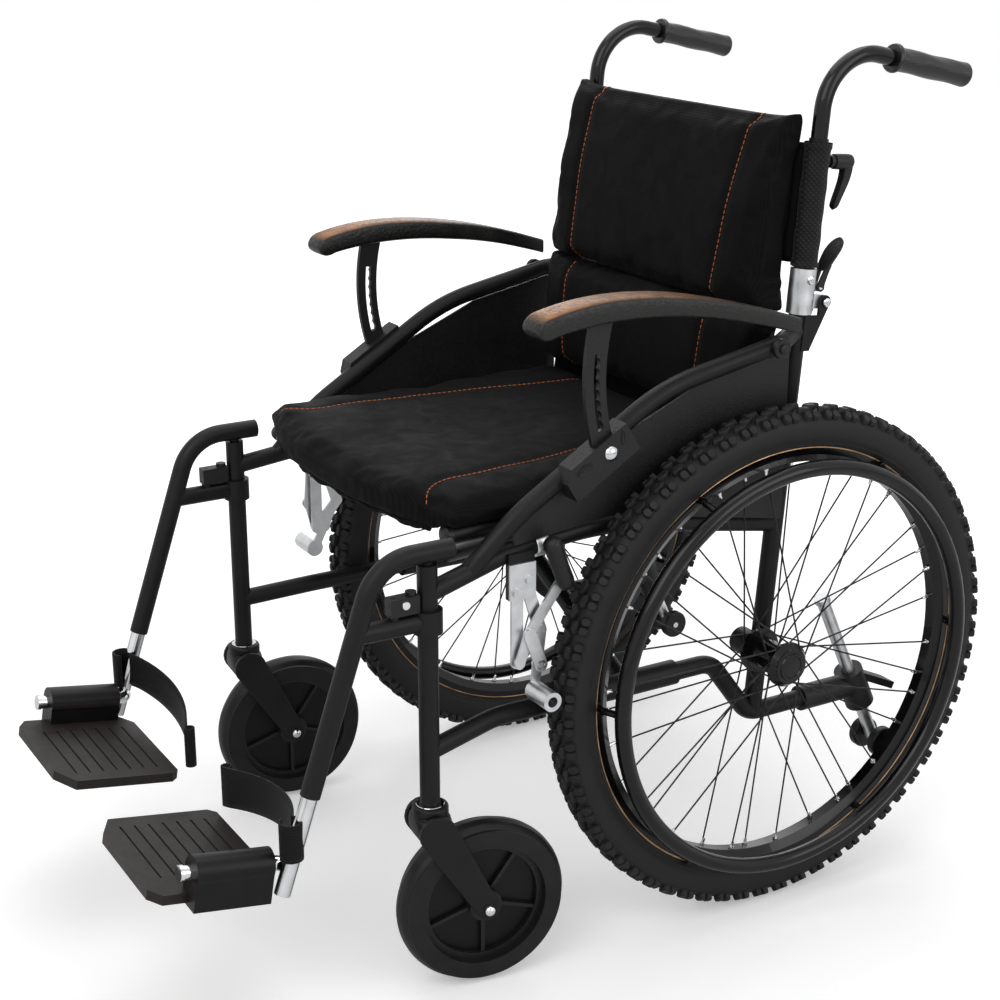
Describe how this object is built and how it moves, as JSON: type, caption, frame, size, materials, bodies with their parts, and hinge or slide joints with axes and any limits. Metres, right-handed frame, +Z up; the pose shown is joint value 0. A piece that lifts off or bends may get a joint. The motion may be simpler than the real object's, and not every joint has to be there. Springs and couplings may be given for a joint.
{
  "type": "all terrain wheelchair",
  "caption": "Folding manual wheelchair with knobbly spoked rear wheels, push rings, swivel castors, swing-away legrests, flip-up arms, half-folding back, toggle brakes and anti-tip wheels.",
  "frame": {"origin": "on the floor, at the middle of the overall length and width", "axes": "+X to the rider's left, -Y forward, +Z up"},
  "size_m": [0.6626, 1.062, 0.9934],
  "materials": {
    "frame_coat": "matte powder coat",
    "gloss_coat": "gloss black",
    "silver": "satin",
    "bright": "polished",
    "black_plastic": "moulded grain",
    "plate_plastic": "moulded grain",
    "tyre_rubber": "matte",
    "grip_rubber": "matte",
    "cloth": "woven nylon"
  },
  "bodies": {
    "left_frame": {"left_side_frame": "frame_coat", "left_side_panel": "black_plastic", "left_antitip_sleeve": "black_plastic", "left_brake_base": "silver", "back_lower": "cloth"},
    "brace_a": {"brace_a": "frame_coat", "brace_bolt": "bright"},
    "brace_b": {"brace_b": "frame_coat", "seat_cushion": "cloth"},
    "right_frame": {"right_side_frame": "frame_coat", "right_side_panel": "black_plastic", "right_antitip_sleeve": "black_plastic", "right_brake_base": "silver"},
    "left_castor_fork": {"left_castor_fork": "frame_coat"},
    "left_castor_wheel": {"left_castor_wheel": "black_plastic"},
    "left_wheel": {"left_tyre": "tyre_rubber", "left_rim": "gloss_coat", "left_hub": "frame_coat", "left_handrim": "gloss_coat"},
    "left_hanger": {"left_hanger": "frame_coat"},
    "left_leg": {"left_leg_tube": "bright", "left_heel_strap": "cloth"},
    "left_footplate": {"left_footplate": "plate_plastic"},
    "left_latch": {"left_legrest_latch": "black_plastic"},
    "left_armrest": {"left_armrest": "black_plastic"},
    "left_brake_lever": {"left_brake_lever": "silver"},
    "left_brake_arm": {"left_brake_arm": "silver"},
    "left_brake_link": {"left_brake_link": "silver"},
    "left_back": {"left_back_cane": "frame_coat", "left_back_hinge": "silver", "back_upper": "cloth"},
    "left_paddle": {"left_release_paddle": "black_plastic"},
    "left_handle": {"left_push_handle": "gloss_coat", "left_grip": "grip_rubber"},
    "left_clamp": {"left_clamp_lever": "black_plastic"},
    "left_antitip": {"left_antitip_leg": "silver"},
    "left_antitip_roller": {"left_antitip_wheels": "grip_rubber"},
    "right_castor_fork": {"right_castor_fork": "frame_coat"},
    "right_castor_wheel": {"right_castor_wheel": "black_plastic"},
    "right_wheel": {"right_tyre": "tyre_rubber", "right_rim": "gloss_coat", "right_hub": "frame_coat", "right_handrim": "gloss_coat"},
    "right_hanger": {"right_hanger": "frame_coat"},
    "right_leg": {"right_leg_tube": "bright", "right_heel_strap": "cloth"},
    "right_footplate": {"right_footplate": "plate_plastic"},
    "right_latch": {"right_legrest_latch": "black_plastic"},
    "right_armrest": {"right_armrest": "black_plastic"},
    "right_brake_lever": {"right_brake_lever": "silver"},
    "right_brake_arm": {"right_brake_arm": "silver"},
    "right_brake_link": {"right_brake_link": "silver"},
    "right_back": {"right_back_cane": "frame_coat", "right_back_hinge": "silver"},
    "right_paddle": {"right_release_paddle": "black_plastic"},
    "right_handle": {"right_push_handle": "gloss_coat", "right_grip": "grip_rubber"},
    "right_clamp": {"right_clamp_lever": "black_plastic"},
    "right_antitip": {"right_antitip_leg": "silver"},
    "right_antitip_roller": {"right_antitip_wheels": "grip_rubber"}
  },
  "joints": [
    {"name": "brace_a_fold", "type": "hinge", "parent": "left_frame", "child": "brace_a", "pos_m": [0.236, 0.056, 0.297], "axis": [0, 1, 0], "range_deg": [0, 18.5], "deforming": ["seat_cushion", "back_upper", "back_lower"]},
    {"name": "brace_b_fold", "type": "hinge", "parent": "brace_a", "child": "brace_b", "pos_m": [0, 0.056, 0.40868], "axis": [0, 1, 0], "range_deg": [-37, 0]},
    {"name": "right_frame_fold", "type": "hinge", "parent": "brace_b", "child": "right_frame", "pos_m": [-0.236, 0.056, 0.297], "axis": [0, 1, 0], "range_deg": [0, 18.5]},
    {"name": "left_castor_swivel", "type": "hinge", "parent": "left_frame", "child": "left_castor_fork", "pos_m": [0.255, -0.22, 0.2], "axis": [0, 0, 1], "continuous": true},
    {"name": "left_castor_spin", "type": "hinge", "parent": "left_castor_fork", "child": "left_castor_wheel", "pos_m": [0.26392, -0.1637, 0.097], "axis": [0.9877, -0.1564, 0], "continuous": true},
    {"name": "left_wheel_spin", "type": "hinge", "parent": "left_frame", "child": "left_wheel", "pos_m": [0.278, 0.226, 0.305], "axis": [1, 0, 0], "continuous": true},
    {"name": "left_legrest_swing", "type": "hinge", "parent": "left_frame", "child": "left_hanger", "pos_m": [0.255, -0.22, 0.437], "axis": [0, 0, 1], "range_deg": [0, 90]},
    {"name": "left_leg_slide", "type": "slide", "parent": "left_hanger", "child": "left_leg", "axis": [0, -0.3223, -0.9466], "range_m": [-0.015, 0.06]},
    {"name": "left_footplate_flip", "type": "hinge", "parent": "left_leg", "child": "left_footplate", "pos_m": [0.238, -0.497, 0.21158], "axis": [0, 0.9863, -0.165], "range_deg": [0, 90]},
    {"name": "left_latch_turn", "type": "hinge", "parent": "left_hanger", "child": "left_latch", "pos_m": [0.255, -0.26, 0.46], "axis": [0, 0, -1], "range_deg": [0, 30]},
    {"name": "left_armrest_flip", "type": "hinge", "parent": "left_frame", "child": "left_armrest", "pos_m": [0.264, 0.225, 0.673], "axis": [-1, 0, 0], "range_deg": [0, 95]},
    {"name": "left_brake_lever_turn", "type": "hinge", "parent": "left_frame", "child": "left_brake_lever", "pos_m": [0.26, -0.111, 0.365], "axis": [1, 0, 0], "range_deg": [0, 32]},
    {"name": "left_brake_arm_turn", "type": "hinge", "parent": "left_frame", "child": "left_brake_arm", "pos_m": [0.256, -0.082, 0.398], "axis": [1, 0, 0], "range_deg": [-20.21, 0]},
    {"name": "left_brake_link_turn", "type": "hinge", "parent": "left_brake_lever", "child": "left_brake_link", "pos_m": [0.263, -0.1, 0.397], "axis": [1, 0, 0], "range_deg": [-22.78, 0]},
    {"name": "left_back_fold", "type": "hinge", "parent": "left_frame", "child": "left_back", "pos_m": [0.226, 0.30597, 0.71169], "axis": [-1, 0, 0], "range_deg": [0, 100]},
    {"name": "left_paddle_press", "type": "hinge", "parent": "left_back", "child": "left_paddle", "pos_m": [0.226, 0.30233, 0.72805], "axis": [1, 0, 0], "range_deg": [0, 15]},
    {"name": "left_handle_slide", "type": "slide", "parent": "left_back", "child": "left_handle", "axis": [0, 0.0837, 0.9965], "range_m": [-0.02, 0.1]},
    {"name": "left_clamp_turn", "type": "hinge", "parent": "left_back", "child": "left_clamp", "pos_m": [0.226, 0.3221, 0.86789], "axis": [0, 0.9965, -0.0837], "range_deg": [0, 90]},
    {"name": "left_antitip_slide", "type": "slide", "parent": "left_frame", "child": "left_antitip", "axis": [0, -0.4229, 0.9062], "range_m": [-0.08, 0.02]},
    {"name": "left_antitip_spin", "type": "hinge", "parent": "left_antitip", "child": "left_antitip_roller", "pos_m": [0.226, 0.435, 0.131], "axis": [1, 0, 0], "continuous": true},
    {"name": "right_castor_swivel", "type": "hinge", "parent": "right_frame", "child": "right_castor_fork", "pos_m": [-0.255, -0.22, 0.2], "axis": [0, 0, 1], "continuous": true},
    {"name": "right_castor_spin", "type": "hinge", "parent": "right_castor_fork", "child": "right_castor_wheel", "pos_m": [-0.24904, -0.16331, 0.097], "axis": [0.9945, -0.1045, 0], "continuous": true},
    {"name": "right_wheel_spin", "type": "hinge", "parent": "right_frame", "child": "right_wheel", "pos_m": [-0.278, 0.226, 0.305], "axis": [1, 0, 0], "continuous": true},
    {"name": "right_legrest_swing", "type": "hinge", "parent": "right_frame", "child": "right_hanger", "pos_m": [-0.255, -0.22, 0.437], "axis": [0, 0, -1], "range_deg": [0, 90]},
    {"name": "right_leg_slide", "type": "slide", "parent": "right_hanger", "child": "right_leg", "axis": [0, -0.3223, -0.9466], "range_m": [-0.015, 0.06]},
    {"name": "right_footplate_flip", "type": "hinge", "parent": "right_leg", "child": "right_footplate", "pos_m": [-0.238, -0.497, 0.21158], "axis": [0, -0.9863, 0.165], "range_deg": [0, 90]},
    {"name": "right_latch_turn", "type": "hinge", "parent": "right_hanger", "child": "right_latch", "pos_m": [-0.255, -0.26, 0.46], "axis": [0, 0, 1], "range_deg": [0, 30]},
    {"name": "right_armrest_flip", "type": "hinge", "parent": "right_frame", "child": "right_armrest", "pos_m": [-0.264, 0.225, 0.673], "axis": [-1, 0, 0], "range_deg": [0, 95]},
    {"name": "right_brake_lever_turn", "type": "hinge", "parent": "right_frame", "child": "right_brake_lever", "pos_m": [-0.26, -0.111, 0.365], "axis": [1, 0, 0], "range_deg": [-32, 0]},
    {"name": "right_brake_arm_turn", "type": "hinge", "parent": "right_frame", "child": "right_brake_arm", "pos_m": [-0.256, -0.082, 0.398], "axis": [1, 0, 0], "range_deg": [0, 20.21]},
    {"name": "right_brake_link_turn", "type": "hinge", "parent": "right_brake_lever", "child": "right_brake_link", "pos_m": [-0.263, -0.11863, 0.39797], "axis": [1, 0, 0], "range_deg": [0, 22.78]},
    {"name": "right_back_fold", "type": "hinge", "parent": "right_frame", "child": "right_back", "pos_m": [-0.226, 0.30597, 0.71169], "axis": [-1, 0, 0], "range_deg": [0, 100]},
    {"name": "right_paddle_press", "type": "hinge", "parent": "right_back", "child": "right_paddle", "pos_m": [-0.226, 0.30233, 0.72805], "axis": [1, 0, 0], "range_deg": [0, 15]},
    {"name": "right_handle_slide", "type": "slide", "parent": "right_back", "child": "right_handle", "axis": [0, 0.0837, 0.9965], "range_m": [-0.02, 0.1]},
    {"name": "right_clamp_turn", "type": "hinge", "parent": "right_back", "child": "right_clamp", "pos_m": [-0.226, 0.3221, 0.86789], "axis": [0, -0.9965, 0.0837], "range_deg": [0, 90]},
    {"name": "right_antitip_slide", "type": "slide", "parent": "right_frame", "child": "right_antitip", "axis": [0, -0.4229, 0.9062], "range_m": [-0.08, 0.02]},
    {"name": "right_antitip_spin", "type": "hinge", "parent": "right_antitip", "child": "right_antitip_roller", "pos_m": [-0.226, 0.435, 0.131], "axis": [1, 0, 0], "continuous": true}
  ],
  "couplings": [
    {"joint": "brace_b_fold", "follows": "brace_a_fold", "ratio": -2},
    {"joint": "right_frame_fold", "follows": "brace_a_fold", "ratio": 1},
    {"joint": "left_brake_arm_turn", "follows": "left_brake_lever_turn", "ratio": -0.63},
    {"joint": "left_brake_link_turn", "follows": "left_brake_lever_turn", "ratio": -0.71031},
    {"joint": "right_brake_arm_turn", "follows": "right_brake_lever_turn", "ratio": -0.63},
    {"joint": "right_brake_link_turn", "follows": "right_brake_lever_turn", "ratio": -0.71031},
    {"joint": "right_back_fold", "follows": "left_back_fold", "ratio": 1}
  ]
}
